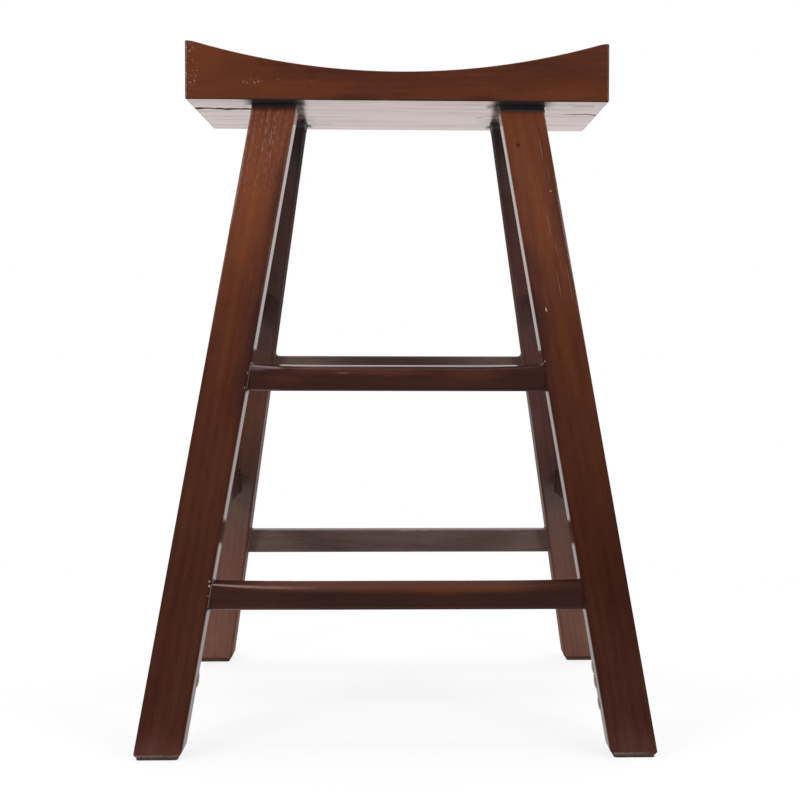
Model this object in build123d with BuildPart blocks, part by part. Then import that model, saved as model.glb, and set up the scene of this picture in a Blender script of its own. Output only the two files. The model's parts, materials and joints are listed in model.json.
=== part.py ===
from build123d import *
import math
import os

# Bar stool: a dished seat of two edge-glued boards on four square legs that splay both ways,
# tied by eight rails at staggered heights, with a pad under each foot.
# Sizes are in millimetres. +Z is up, the front is -Y, and left is -X as seen from the front.
# The origin is on the floor under the middle of the seat.

os.makedirs("parts", exist_ok=True)

# Seat
underside_height = 675.0
seat_end_thickness = 62.0
seat_middle_thickness = 31.0
seat_width = 452.0
seat_depth = 258.0
seat_rim_width = 6.0
seat_edge_round = 1.8
front_board_depth = 88.0
rim_blend_share = 0.7

# Legs: the distances of a leg's centre line from the middle, at the underside and at the floor
leg_side = 47.5
leg_top_x = 134.0
leg_top_y = 76.0
leg_foot_x = 240.5
leg_foot_y = 237.5
leg_edge_round = 3.0
foot_chamfer = 3.0
seat_tenon_side_share = 0.6
seat_tenon_length_share = 0.8

# Rails: the height of each middle line above the floor
rail_height = 28.5
rail_thickness = 24.0
rail_setback = 5.0
rail_edge_round = 3.0
front_lower_rail_level = 158.0
front_upper_rail_level = 380.5
rear_lower_rail_level = 159.5
rear_upper_rail_level = 383.0
side_lower_rail_level = 240.0
side_upper_rail_level = 464.0
rail_tenon_height_share = 0.65
rail_tenon_thickness_share = 0.45
rail_tenon_length_share = 0.48

# Treads: how far feet have worn the tops of the front rails, which are worn less near the legs
tread_sag = 1.2
tread_fall = 2.5
tread_round = 9.0
tread_wear_shares = {-1.0: 0.0, -0.75: 0.75, -0.4: 1.0, 0.4: 1.0, 0.75: 0.75, 1.0: 0.0}

# Foot pads
pad_thickness = 3.0
pad_inset = 3.0
pad_corner_round = 4.0

# Fits
tenon_clearance = 0.15
socket_end_gap = 1.0

# Sizes that follow from those above
seat_top_height = underside_height + seat_end_thickness
dish_depth = seat_end_thickness - seat_middle_thickness
glue_line_y = front_board_depth - seat_depth / 2
seat_tenon_side = leg_side * seat_tenon_side_share
seat_tenon_length = seat_middle_thickness * seat_tenon_length_share
rail_tenon_height = rail_height * rail_tenon_height_share
rail_tenon_thickness = rail_thickness * rail_tenon_thickness_share
rail_tenon_length = leg_side * rail_tenon_length_share
leg_direction = Vector(leg_top_x - leg_foot_x, leg_top_y - leg_foot_y, underside_height)

LEGS = {
    "front_left": (-1, -1),
    "front_right": (1, -1),
    "rear_left": (-1, 1),
    "rear_right": (1, 1),
}
FRONT_RAIL_LEVELS = {"lower": front_lower_rail_level, "upper": front_upper_rail_level}
REAR_RAIL_LEVELS = {"lower": rear_lower_rail_level, "upper": rear_upper_rail_level}
SIDE_RAIL_LEVELS = {"lower": side_lower_rail_level, "upper": side_upper_rail_level}


def leg_centre_x(level):
    """Distance of a leg's centre line from the middle along X, at a height above the floor."""
    return leg_foot_x + leg_direction.X * level / underside_height


def leg_centre_y(level):
    """Distance of a leg's centre line from the middle along Y, at a height above the floor."""
    return leg_foot_y + leg_direction.Y * level / underside_height


def rail_offset(leg_centre):
    """Distance of a rail's middle plane from the middle of the stool, set back in the leg."""
    return leg_centre + leg_side / 2 - rail_setback - rail_thickness / 2


def leaning_bar(side_x, side_y, side, low, high, mode=Mode.ADD):
    """A square bar along a leg's centre line between two heights, cut level at both ends."""
    lean = Vector(side_x * leg_direction.X, side_y * leg_direction.Y, leg_direction.Z)
    foot = (side_x * leg_centre_x(low), side_y * leg_centre_y(low), low)
    with BuildSketch(Plane(origin=foot)) as section:
        Rectangle(side, side)
    length = (high - low) * lean.length / underside_height
    extrude(section.sketch, amount=length, dir=lean, mode=mode)


def seat_sockets():
    """The sockets for the four leg tenons, cut from the seat board being built."""
    side = seat_tenon_side + 2 * tenon_clearance
    top = underside_height + seat_tenon_length + socket_end_gap
    for side_x, side_y in LEGS.values():
        leaning_bar(side_x, side_y, side, underside_height, top, Mode.SUBTRACT)


def seat_board(name, side_y):
    """The front or rear board of the seat, with its outer edges eased."""
    outer_y = side_y * seat_depth / 2
    half_width = seat_width / 2
    dish_half_width = half_width - seat_rim_width
    dish_radius = (dish_half_width**2 + dish_depth**2) / (2 * dish_depth)
    rim_angle = math.asin(dish_half_width / dish_radius)
    blend_radius = rim_blend_share * seat_rim_width / math.tan(rim_angle / 2)
    with BuildPart() as board:
        with BuildSketch(Plane.XZ.offset(-outer_y)) as outline:
            with BuildLine():
                rim = Polyline(
                    (-dish_half_width, seat_top_height),
                    (-half_width, seat_top_height),
                    (-half_width, underside_height),
                    (half_width, underside_height),
                    (half_width, seat_top_height),
                    (dish_half_width, seat_top_height),
                )
                ThreePointArc(rim @ 1, (0, seat_top_height - dish_depth), rim @ 0)
            make_face()
            rim_corners = outline.vertices().group_by(Axis.Y)[-1].sort_by(Axis.X)[1:3]
            fillet(rim_corners, radius=blend_radius)
        extrude(amount=side_y * abs(outer_y - glue_line_y))
        outer_face = board.faces().filter_by(Plane.XZ).sort_by(Axis.Y, reverse=side_y > 0)[0]
        end_edges = board.edges().filter_by(Axis.Y).group_by(Axis.X)
        fillet(outer_face.edges() + end_edges[0] + end_edges[-1], radius=seat_edge_round)
        seat_sockets()
    board.part.label = name
    return board.part


def leg(name, side_x, side_y):
    """One leg with its seat tenon, its level foot and a socket for each of its four rails."""
    lean = Vector(side_x * leg_direction.X, side_y * leg_direction.Y, leg_direction.Z)
    depth = rail_tenon_length + socket_end_gap
    width = rail_tenon_thickness + 2 * tenon_clearance
    height = rail_tenon_height + 2 * tenon_clearance
    cross_levels = FRONT_RAIL_LEVELS if side_y < 0 else REAR_RAIL_LEVELS
    with BuildPart() as bar:
        leaning_bar(side_x, side_y, leg_side, pad_thickness, underside_height)
        chamfer(bar.faces().sort_by(Axis.Z)[0].edges(), length=foot_chamfer)
        fillet(bar.edges().filter_by(Axis((0, 0, 0), lean)), radius=leg_edge_round)
        tenon_top = underside_height + seat_tenon_length
        leaning_bar(side_x, side_y, seat_tenon_side, underside_height, tenon_top)
        for level in cross_levels.values():
            inner_x = leg_centre_x(level) - leg_side / 2
            socket = Plane((side_x * inner_x, side_y * rail_offset(leg_centre_y(level)), level))
            with Locations(socket):
                Box(2 * depth, width, height, mode=Mode.SUBTRACT)
        for level in SIDE_RAIL_LEVELS.values():
            inner_y = leg_centre_y(level) - leg_side / 2
            socket = Plane((side_x * rail_offset(leg_centre_x(level)), side_y * inner_y, level))
            with Locations(socket):
                Box(width, 2 * depth, height, mode=Mode.SUBTRACT)
    bar.part.label = name
    return bar.part


def rail_section(middle_plane, along, level, wear=0.0):
    """The outline across a rail, at a distance along it.

    The middle plane holds the rail's length as its X and the height above the floor as its Y, and
    faces the tread. A wear of 0 leaves the tread square, and 1 wears it down by its full sizes.
    """
    low = level - rail_height / 2
    back_top = level + rail_height / 2 - wear * tread_sag
    tread_top = back_top - wear * tread_fall
    half = rail_thickness / 2
    eased = rail_edge_round
    origin = middle_plane.origin + middle_plane.x_dir * along
    with BuildSketch(Plane(origin, x_dir=middle_plane.z_dir, z_dir=-middle_plane.x_dir)) as section:
        with BuildLine():
            FilletPolyline(
                (-half, low), (half, low), (half, tread_top), (-half, back_top),
                radius=(eased, eased, eased + wear * (tread_round - eased), eased),
                close=True,
            )
        make_face()
    return section.sketch


def rail(name, middle_plane, leg_centre, level, wear_shares=None):
    """One rail between two legs, with shoulders cut to the legs' lean and a tenon at each end.

    The wear shares give how worn the tread is at places along the rail, as shares of its half length.
    """
    below = level - rail_height
    above = level + rail_height
    half_below = leg_centre(below) - leg_side / 2
    half_above = leg_centre(above) - leg_side / 2
    tenon_span = 2 * (leg_centre(level) - leg_side / 2 + rail_tenon_length)
    with BuildPart() as bar:
        if wear_shares:
            loft([
                rail_section(middle_plane, share * half_below, level, wear)
                for share, wear in wear_shares.items()
            ])
        else:
            extrude(rail_section(middle_plane, 0, level), amount=half_below, both=True)
        with BuildSketch(middle_plane) as shoulders:
            with BuildLine():
                Polyline(
                    (-half_below, below), (half_below, below), (half_above, above), (-half_above, above),
                    close=True,
                )
            make_face()
        extrude(shoulders.sketch, amount=rail_thickness, both=True, mode=Mode.INTERSECT)
        with BuildSketch(middle_plane) as tenons:
            with Locations((0, level)):
                Rectangle(tenon_span, rail_tenon_height)
        extrude(tenons.sketch, amount=rail_tenon_thickness / 2, both=True)
    bar.part.label = name
    return bar.part


def foot_pad(name, side_x, side_y):
    """The pad under one foot, set in from the foot's edges."""
    side = leg_side - 2 * pad_inset
    centre = (side_x * leg_centre_x(pad_thickness), side_y * leg_centre_y(pad_thickness))
    with BuildPart() as pad:
        with BuildSketch():
            with Locations(centre):
                RectangleRounded(side, side, pad_corner_round)
        extrude(amount=pad_thickness)
    pad.part.label = name
    return pad.part


pieces = [seat_board("seat_front_board", -1), seat_board("seat_rear_board", 1)]
for corner, (side_x, side_y) in LEGS.items():
    pieces.append(leg(f"leg_{corner}", side_x, side_y))
    pieces.append(foot_pad(f"foot_pad_{corner}", side_x, side_y))
for tier, level in FRONT_RAIL_LEVELS.items():
    middle_plane = Plane.XZ.offset(rail_offset(leg_centre_y(level)))
    pieces.append(rail(f"rail_front_{tier}", middle_plane, leg_centre_x, level, tread_wear_shares))
for tier, level in REAR_RAIL_LEVELS.items():
    middle_plane = Plane.XZ.offset(-rail_offset(leg_centre_y(level)))
    pieces.append(rail(f"rail_rear_{tier}", middle_plane, leg_centre_x, level))
for tier, level in SIDE_RAIL_LEVELS.items():
    for face, side_x in (("left", -1), ("right", 1)):
        middle_plane = Plane.YZ.offset(side_x * rail_offset(leg_centre_x(level)))
        pieces.append(rail(f"rail_{face}_{tier}", middle_plane, leg_centre_y, level))

for piece in pieces:
    export_step(piece, f"parts/{piece.label}.step")
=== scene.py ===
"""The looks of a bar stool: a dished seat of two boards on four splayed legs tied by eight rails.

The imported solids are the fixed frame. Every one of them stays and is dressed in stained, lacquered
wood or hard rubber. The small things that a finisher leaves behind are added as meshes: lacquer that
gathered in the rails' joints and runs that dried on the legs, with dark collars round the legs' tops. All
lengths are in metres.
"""

from __future__ import annotations

import json
import logging
import math
from collections.abc import Mapping, Sequence
from dataclasses import dataclass, field, replace
from enum import Enum
from functools import reduce
from itertools import product

import bmesh
import bpy
from mathutils import Matrix, Vector, noise

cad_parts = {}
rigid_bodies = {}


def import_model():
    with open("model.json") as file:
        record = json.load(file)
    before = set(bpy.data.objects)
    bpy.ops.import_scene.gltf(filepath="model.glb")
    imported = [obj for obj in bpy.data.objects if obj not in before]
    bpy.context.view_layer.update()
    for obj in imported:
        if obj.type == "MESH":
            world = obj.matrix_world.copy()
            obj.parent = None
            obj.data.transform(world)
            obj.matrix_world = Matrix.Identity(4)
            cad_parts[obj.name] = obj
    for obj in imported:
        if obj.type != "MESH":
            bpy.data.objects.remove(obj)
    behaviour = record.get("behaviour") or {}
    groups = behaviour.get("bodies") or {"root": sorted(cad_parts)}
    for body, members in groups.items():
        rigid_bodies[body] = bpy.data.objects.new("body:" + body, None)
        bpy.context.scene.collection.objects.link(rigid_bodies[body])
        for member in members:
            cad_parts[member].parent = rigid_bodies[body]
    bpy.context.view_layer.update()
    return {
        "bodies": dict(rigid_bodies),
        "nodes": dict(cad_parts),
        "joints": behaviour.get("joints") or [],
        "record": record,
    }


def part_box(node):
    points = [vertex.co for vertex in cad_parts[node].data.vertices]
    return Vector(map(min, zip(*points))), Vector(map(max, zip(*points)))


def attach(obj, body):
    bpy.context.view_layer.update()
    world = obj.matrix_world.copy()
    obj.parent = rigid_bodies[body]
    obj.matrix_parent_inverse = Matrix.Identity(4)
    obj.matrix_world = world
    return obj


LOG = logging.getLogger("bar_stool")
BODY = "root"
MM = 0.001
QUARTER = math.pi / 2
AXES = ((1, 0, 0), (0, 1, 0), (0, 0, 1))
DOWN = (0, 0, -1)
PLAIN_WHITE = (1.0, 1.0, 1.0)

Colour = tuple[float, float, float]
Socket = bpy.types.NodeSocket
Term = float | Socket
# A smooth step: where it starts and ends, then the levels before and after it if they aren't 0 and 1
Step = tuple[float, ...]
# Levels, each with its place along a piece
Levels = tuple[tuple[float, float], ...]

EVERYWHERE: Levels = ((0.0, 1.0),)
NOWHERE: Levels = ((0.0, 0.0),)
# The level round which noise swings
MIDDLE = 0.5


class Corner(Enum):
    """The four corners of the stool, each with the side of the middle that it stands on."""

    FRONT_LEFT = (-1, -1)
    FRONT_RIGHT = (1, -1)
    REAR_LEFT = (-1, 1)
    REAR_RIGHT = (1, 1)

    @property
    def label(self) -> str:
        """The corner's name as the nodes spell it."""
        return self.name.lower()


class Face(Enum):
    """The four faces of the leg frame, each with its outward direction."""

    FRONT = (0, -1)
    REAR = (0, 1)
    LEFT = (-1, 0)
    RIGHT = (1, 0)

    @property
    def axis(self) -> int:
        """The axis that the face's rails run along: 0 for X and 1 for Y."""
        return 0 if self.value[0] == 0 else 1


class Tier(Enum):
    """The two heights of rail in each face."""

    LOWER = "lower"
    UPPER = "upper"


class Blemish(Enum):
    """The kinds of mark that a wood finish can carry, among which the dark smudges and pale smears include
    painted shade and painted highlights.
    """

    KNOT = "knot"
    CHIP = "chip"
    SMEAR = "smear"
    SOOT = "soot"
    CLOUD = "cloud"
    SCUFF = "scuff"


def srgb(*values: int) -> Colour:
    """A linear colour from the 0 to 255 values that a paint chart gives.

    Args:
        values: The red, green and blue values.

    Returns:
        The linear red, green and blue, from 0 to 1.
    """
    shares = (value / 255 for value in values)
    return tuple(share / 12.92 if share <= 0.04045 else ((share + 0.055) / 1.055) ** 2.4
                 for share in shares)


@dataclass(frozen=True)
class Measure:
    """A distance measured in the shader along one direction from a start.

    Attributes:
        direction: What one metre along each world axis adds.
        start: What is added at the origin.
    """

    direction: tuple[float, float, float]
    start: float = 0.0


@dataclass(frozen=True)
class Lie:
    """How the grain lies in a piece: one measure along it and two across it.

    Attributes:
        along: The distance along the grain.
        across: The distance across it, over the piece's width.
        through: The distance across it, through the piece's thickness.
        pith: Where the tree's centre stood, across and through.
        seed: A number of metres that sets this piece's figure apart from the others'.
        flats: How far the faces of a square bar are flat on either side of its middle, or None.
    """

    along: Measure
    across: Measure
    through: Measure
    pith: tuple[float, float]
    seed: float
    flats: float | None = None


@dataclass(frozen=True)
class Layer:
    """A layer of smooth noise.

    Attributes:
        counts: Its repeats to the metre along each of the three axes. In a piece's own frame these run
            across, through and along it.
        detail: How many finer layers it carries.
        roughness: How strong those are.
    """

    counts: tuple[float, float, float]
    detail: float = 2.0
    roughness: float = 0.5


class Bench:
    """A node tree with short calls that add a node, set it and give its result."""

    def __init__(self, tree: bpy.types.NodeTree) -> None:
        """Takes over a node tree and empties it."""
        self.tree = tree
        self.tree.nodes.clear()

    def add(self, kind: str, **settings: object) -> bpy.types.Node:
        """Adds a node.

        Args:
            kind: The node's type.
            settings: Its properties by name.

        Returns:
            The new node.
        """
        node = self.tree.nodes.new(kind)
        for name, value in settings.items():
            setattr(node, name, value)
        return node

    def feed(self, socket: Socket, term: Term | Colour | Sequence[float]) -> None:
        """Gives an input its value, or joins it to another node's result.

        Args:
            socket: The input.
            term: A number, a colour, a vector or a result.
        """
        if isinstance(term, bpy.types.NodeSocket):
            self.tree.links.new(term, socket)
        elif isinstance(term, (int, float)):
            socket.default_value = term
        elif socket.type == "RGBA":
            socket.default_value = (*term, 1.0)
        else:
            socket.default_value = tuple(term)

    def fill(self, node: bpy.types.Node, *terms: Term | Sequence[float]) -> bpy.types.Node:
        """Feeds a node's first inputs in order.

        Args:
            node: The node.
            terms: What its inputs take.

        Returns:
            The same node.
        """
        for socket, term in zip(node.inputs, terms):
            self.feed(socket, term)
        return node

    def math(self, operation: str, *terms: Term, clamp: bool = False) -> Socket:
        """An operation on numbers, whose result is kept from 0 to 1 if it is clamped."""
        node = self.add("ShaderNodeMath", operation=operation, use_clamp=clamp)
        return self.fill(node, *terms).outputs[0]

    def times(self, *terms: Term) -> Socket:
        """The product of the terms."""
        return reduce(lambda first, second: self.math("MULTIPLY", first, second), terms)

    def most(self, *terms: Term) -> Socket:
        """The largest of the terms."""
        return reduce(lambda first, second: self.math("MAXIMUM", first, second), terms)

    def swing(self, value: Socket, strength: float) -> Socket:
        """How far noise lies above or below its middle, times a strength."""
        return self.math("MULTIPLY_ADD", value, strength, -MIDDLE * strength)

    def vector(self, operation: str, *terms: Socket | Sequence[float]) -> bpy.types.Node:
        """The node of an operation on vectors."""
        return self.fill(self.add("ShaderNodeVectorMath", operation=operation), *terms)

    def measure(self, place: Socket, measure: Measure) -> Socket:
        """The distance in metres that a measure gives at each point."""
        run = self.vector("DOT_PRODUCT", place, measure.direction).outputs["Value"]
        return self.math("ADD", run, measure.start)

    def facing(self, direction: Sequence[float]) -> Socket:
        """How squarely the surface faces a direction, from -1 to 1."""
        normal = self.add("ShaderNodeNewGeometry").outputs["Normal"]
        return self.measure(normal, Measure(direction))

    def join(self, first: Term, second: Term, third: Term) -> Socket:
        """A vector of three numbers."""
        return self.fill(self.add("ShaderNodeCombineXYZ"), first, second, third).outputs[0]

    def split(self, vector: Socket) -> tuple[Socket, ...]:
        """The three numbers of a vector."""
        return tuple(self.fill(self.add("ShaderNodeSeparateXYZ"), vector).outputs)

    def stretch(self, place: Socket, counts: Sequence[float]) -> Socket:
        """Coordinates counted in repeats to the metre along each axis."""
        return self.vector("MULTIPLY", place, counts).outputs["Vector"]

    def length(self, vector: Socket) -> Socket:
        """How long a vector is."""
        return self.vector("LENGTH", vector).outputs["Value"]

    def squarish(self, vector: Socket) -> Socket:
        """How long a vector's longest part is."""
        return self.most(*(self.math("ABSOLUTE", part) for part in self.split(vector)))

    def noise(self, place: Socket, layer: Layer) -> Socket:
        """A layer of noise, from 0 to 1.

        Args:
            place: The point's place in metres.
            layer: The layer.

        Returns:
            The noise.
        """
        node = self.add("ShaderNodeTexNoise")
        self.feed(node.inputs["Vector"], self.stretch(place, layer.counts))
        node.inputs["Scale"].default_value = 1.0
        node.inputs["Detail"].default_value = layer.detail
        node.inputs["Roughness"].default_value = layer.roughness
        return node.outputs["Fac"]

    def band(self, value: Term, low: Term, high: Term, first: Term = 0.0, last: Term = 1.0) -> Socket:
        """A smooth step from one level to another, between two values of what is measured."""
        node = self.add("ShaderNodeMapRange", interpolation_type="SMOOTHSTEP")
        return self.fill(node, value, low, high, first, last).outputs["Result"]

    def blend(self, factor: Term, first: Colour | Socket, second: Colour | Socket,
              mode: str = "MIX") -> Socket:
        """Two colours mixed.

        Args:
            factor: The share of the second.
            first: The colour below.
            second: The colour above.
            mode: How they mix.

        Returns:
            The mixed colour.
        """
        node = self.add("ShaderNodeMix", data_type="RGBA", blend_type=mode)
        colours = [socket for socket in node.inputs if socket.type == "RGBA"]
        self.feed(node.inputs[0], factor)
        self.feed(colours[0], first)
        self.feed(colours[1], second)
        return next(socket for socket in node.outputs if socket.type == "RGBA")

    def tones(self, value: Socket, stops: Sequence[tuple[float, Colour]]) -> Socket:
        """A colour that runs through several tones.

        Args:
            value: The place on the run, from 0 to 1.
            stops: Each tone with its place.

        Returns:
            The colour.
        """
        node = self.add("ShaderNodeValToRGB")
        ramp = node.color_ramp
        while len(ramp.elements) < len(stops):
            ramp.elements.new(MIDDLE)
        for element, (position, colour) in zip(ramp.elements, stops):
            element.position = position
            element.color = (*colour, 1.0)
        self.feed(node.inputs["Fac"], value)
        return node.outputs["Color"]

    def levels(self, value: Socket, stops: Levels) -> Term:
        """A number that runs through several levels.

        Args:
            value: The place on the run, from 0 to 1.
            stops: The levels.

        Returns:
            The number, or the level itself where there is only one.
        """
        if len(stops) == 1:
            return stops[0][1]
        return self.tones(value, [(position, (level, level, level)) for position, level in stops])

    def bump(self, height: Socket, depth: float) -> Socket:
        """A bent normal from a height of 0 to 1.

        Args:
            height: The height.
            depth: What a height of 1 stands for, in metres.

        Returns:
            The normal.
        """
        node = self.add("ShaderNodeBump")
        node.inputs["Distance"].default_value = depth
        self.feed(node.inputs["Height"], height)
        return node.outputs["Normal"]

    def shader(self, kind: str, inputs: Mapping[str | int, Term | Colour]) -> Socket:
        """Adds a shader.

        Args:
            kind: The node's type.
            inputs: What its inputs take, by their names or numbers.

        Returns:
            The shader's result.
        """
        node = self.add(kind)
        for name, term in inputs.items():
            self.feed(node.inputs[name], term)
        return node.outputs[0]

    def end(self, result: Socket, kind: str = "ShaderNodeOutputMaterial") -> None:
        """Ends the tree in its output."""
        self.feed(self.add(kind).inputs["Surface"], result)


def new_material(name: str) -> tuple[bpy.types.Material, Bench]:
    """Starts a material.

    Args:
        name: Its name.

    Returns:
        The material and the bench for its tree.
    """
    made = bpy.data.materials.new(name)
    made.use_nodes = True
    return made, Bench(made.node_tree)


class Work:
    """A finish in the making: where each point of the piece lies, and what covers it so far.

    Attributes:
        bench: The material's tree.
        lie: How the piece's grain lies.
        point: The point's place in the stool's frame.
        along: Its distance along the grain.
        across: Its distance across the piece.
        through: Its distance through the piece.
        inside: The three as one place.
        figure: The same moved along by the piece's seed, which the layers of figure are made from.
        colour: The colour so far.
        bare: How much of the lacquer is missing so far.
        layers: The layers of figure made so far.
    """

    def __init__(self, bench: Bench, lie: Lie) -> None:
        """Finds where each point lies.

        Args:
            bench: The material's tree.
            lie: How the piece's grain lies.
        """
        self.bench = bench
        self.lie = lie
        self.point = bench.add("ShaderNodeTexCoord").outputs["Object"]
        self.along, self.across, self.through = (
            bench.measure(self.point, measure) for measure in (lie.along, lie.across, lie.through)
        )
        self.inside = bench.join(self.across, self.through, self.along)
        self.figure = bench.join(self.across, self.through, bench.math("ADD", self.along, lie.seed))
        self.colour: Colour | Socket = PLAIN_WHITE
        self.bare: Term = 0.0
        self.layers: dict[Layer, Socket] = {}

    def layer(self, layer: Layer) -> Socket:
        """A layer of the piece's figure, which is made only once.

        Args:
            layer: The layer.

        Returns:
            Its noise.
        """
        if layer not in self.layers:
            self.layers[layer] = self.bench.noise(self.figure, layer)
        return self.layers[layer]

    def weigh(self, level: float, *layers: tuple[Layer, float]) -> Term:
        """A level with layers of the figure swinging round it.

        Args:
            level: The result where every layer is at its middle.
            layers: Each layer with its strength.

        Returns:
            The sum.
        """
        total: Term = level
        for layer, strength in layers:
            total = self.bench.math("ADD", total, self.bench.swing(self.layer(layer), strength))
        return total

    def cover(self, share: Term, tone: Colour | Socket, mode: str = "MIX") -> None:
        """Lays a tone over a share of the colour so far."""
        self.colour = self.bench.blend(share, self.colour, tone, mode)

    def strip(self, share: Term) -> None:
        """Takes off a share of the lacquer, where less than that is missing so far."""
        self.bare = self.bench.most(self.bare, share)

    def edges(self) -> tuple[Socket, Socket]:
        """Finds the eased edges.

        Returns:
            Where an eased edge lies, and where its ridge does: 1 where the surface's direction is half
            way between two faces. On a bar with known flats the edge is 1 from one face to the other.
        """
        bench, flats = self.bench, self.lie.flats
        width = Vector(self.lie.across.direction).normalized()
        depth = Vector(self.lie.through.direction).normalized()
        axes = (width, depth, width.cross(depth))
        x, y, z = (bench.math("ABSOLUTE", bench.facing(axis)) for axis in axes)
        turned = bench.times(bench.most(bench.times(x, y), bench.times(y, z), bench.times(x, z)), 2.0)
        ridge = bench.band(turned, *RIDGE)
        if flats is None:
            return turned, ridge
        past = (bench.band(bench.math("ABSOLUTE", side), flats, flats + FLAT_TO_EDGE)
                for side in (self.across, self.through))
        return bench.most(turned, bench.times(*past)), ridge


@dataclass(frozen=True)
class Mark:
    """A blemish at one place of a piece.

    Attributes:
        kind: What it is.
        place: Its middle: across, through and along the piece.
        size: Its half lengths across, through and along.
        strength: How much of the colour below it hides.
        tone: The colour of a cloud, or None for every other kind, which has its own.
    """

    kind: Blemish
    place: tuple[float, float, float]
    size: tuple[float, float, float]
    strength: float
    tone: Colour | None = None

    def spread(self, work: Work) -> Socket:
        """How far each point lies from the mark's middle, with noise that frays its outline.

        Args:
            work: The finish in the making.

        Returns:
            The distance, which is about 1 at the outline.
        """
        bench = work.bench
        away = bench.vector("SUBTRACT", work.inside, self.place).outputs["Vector"]
        scaled = bench.stretch(away, [1 / side for side in self.size])
        far = bench.squarish(scaled) if self.kind is Blemish.SOOT else bench.length(scaled)
        layer, strength = SOFT_FRAY if self.kind is Blemish.CLOUD else SHARP_FRAY
        return bench.math("ADD", far, bench.swing(bench.noise(work.inside, layer), strength))


@dataclass(frozen=True)
class GlueLine:
    """The dark wandering line where two boards meet, drawn wider in places on the side that faces down,
    where it also paints the shadow of a small step between the boards.

    Attributes:
        place: Its place along Y at the middle of the seat.
        slant: How far it moves along Y for each metre along X.
        stray: How far it wanders from side to side.
        below: How squarely a surface faces down where the line is full, with its share elsewhere.
        left_width: The width of the line towards the left end, where it also paints a step's shadow.
        right_width: What is added to that towards the right end.
        left_shows: How much of it shows towards the left end.
        right_shows: How much of it shows towards the right end.
        core: The share of its width that is fully dark.
        tone: Its colour.
    """

    place: float
    slant: float = 0.07
    stray: float = 34 * MM
    below: Step = (0.5, 0.9, 0.08, 1.0)
    left_width: Step = (-0.17, -0.14, 20 * MM, 4 * MM)
    right_width: Step = (0.14, 0.17, 0.0, 5 * MM)
    left_shows: Step = (-0.16, -0.1, 0.95, 0.35)
    right_shows: Step = (0.18, 0.2, 0.0, 0.95)
    core: float = 0.4
    tone: Colour = srgb(22, 16, 15)

    def draw(self, work: Work) -> None:
        """Draws the line.

        Args:
            work: The finish in the making.
        """
        bench = work.bench
        x, y, _ = bench.split(work.point)
        full = bench.band(bench.facing(DOWN), *self.below)
        wander = bench.math("SUBTRACT", bench.noise(work.point, GLUE_WANDER), MIDDLE)
        line = bench.math("MULTIPLY_ADD", bench.times(wander, full), self.stray, self.place)
        line = bench.math("MULTIPLY_ADD", x, self.slant, line)
        off = bench.math("ABSOLUTE", bench.math("SUBTRACT", y, line))
        # Where the line is wide on the underside it also paints the shadow of a step between the boards
        line_and_shadow_width = bench.math("ADD", bench.band(x, *self.left_width), bench.band(x, *self.right_width))
        edge = bench.times(bench.noise(work.point, GLUE_WIDTH), line_and_shadow_width, full)
        gap = bench.band(off, bench.times(edge, self.core), edge, 1.0, 0.0)
        shown = bench.most(bench.band(x, *self.left_shows), bench.band(x, *self.right_shows))
        cover = bench.times(gap, shown)
        work.cover(cover, self.tone)
        work.strip(cover)


# The layers of figure in the wood
FIBRE = Layer((850, 850, 14))
STREAK = Layer((190, 190, 3.2), 3, 0.6)
MOTTLE = Layer((22, 22, 7), 3, 0.55)
SPECKLE = Layer((210, 210, 75), 3, 0.6)
PORES = Layer((1300, 1300, 60), 1)
RING_SWAY = Layer((7, 7, 2.2))
# The layers in its lacquer, and in its worn edges and painted highlights
SKIN = Layer((60, 60, 18))
RUBBED_AND_HIGHLIGHT_RUNS = Layer((9, 9, 9))
NICKS = Layer((420, 420, 130), 3, 0.65)
DASHES = Layer((800, 800, 150), 1)
DASH_ROWS = Layer((900, 900, 3), 1)
BRUSHED = Layer((62, 62, 4), 4, 0.6)
GRIT = Layer((430, 430, 430), 1)
GLUE_WANDER = Layer((50, 0, 0), 4, 0.6)
GLUE_WIDTH = Layer((60, 0, 0))
# What frays the outline of a cloud and of every other mark, with its strength
SOFT_FRAY = (Layer((40, 40, 16), 3), 1.4)
SHARP_FRAY = (Layer((500, 500, 300), 3), 0.9)

# How strongly the layers show in the wood's relief, in the lacquer's and in the wood's roughness
WOOD_RELIEF = ((FIBRE, 0.5), (STREAK, 0.8))
WOOD_DEPTH = 0.12 * MM
PORE_DEPTH = 0.6
SKIN_RELIEF = ((SKIN, 1.0), (STREAK, 0.5), (FIBRE, 0.1))
SKIN_DEPTH = 0.06 * MM
ROUGHNESS_SWINGS = ((STREAK, 0.15), (MOTTLE, 0.1))
BARE_ROUGHNESS = 0.3
LACQUER_IOR = 1.5

# Where the deep, middle and bright tones stand on the run of the stain
TONE_PLACES = (0.18, 0.5, 0.85)
PORE_OPENS: Step = (0.62, 0.7)
RING_STRAY = 26 * MM
RING_RISE: Step = (0.25, 0.86)
RING_FALL: Step = (0.9, 1.0, 1.0, 0.0)
END_FACES: Step = (0.8, 0.97)
END_SHARE = 0.45

# How far an edge is turned from the faces beside it, where it is bare and where its ridge lies
EDGE_BARE: Step = (0.15, 0.6)
RIDGE: Step = (0.84, 0.98)
FLAT_TO_EDGE = 0.6 * MM
# The levels of noise where the pale edges, worn and painted as highlights, start on a finish with none of
# them, and what the full amount takes off them
RUBBED_AND_HIGHLIGHT_FROM = (0.62, 0.78)
WEAR_AND_HIGHLIGHT_PULL = 0.3
RUBBED_AND_HIGHLIGHT_SHARE = 0.75
DASH_SHOWS: Step = (0.46, 0.6)
ROW_SHOWS: Step = (0.5, 0.62)

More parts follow.
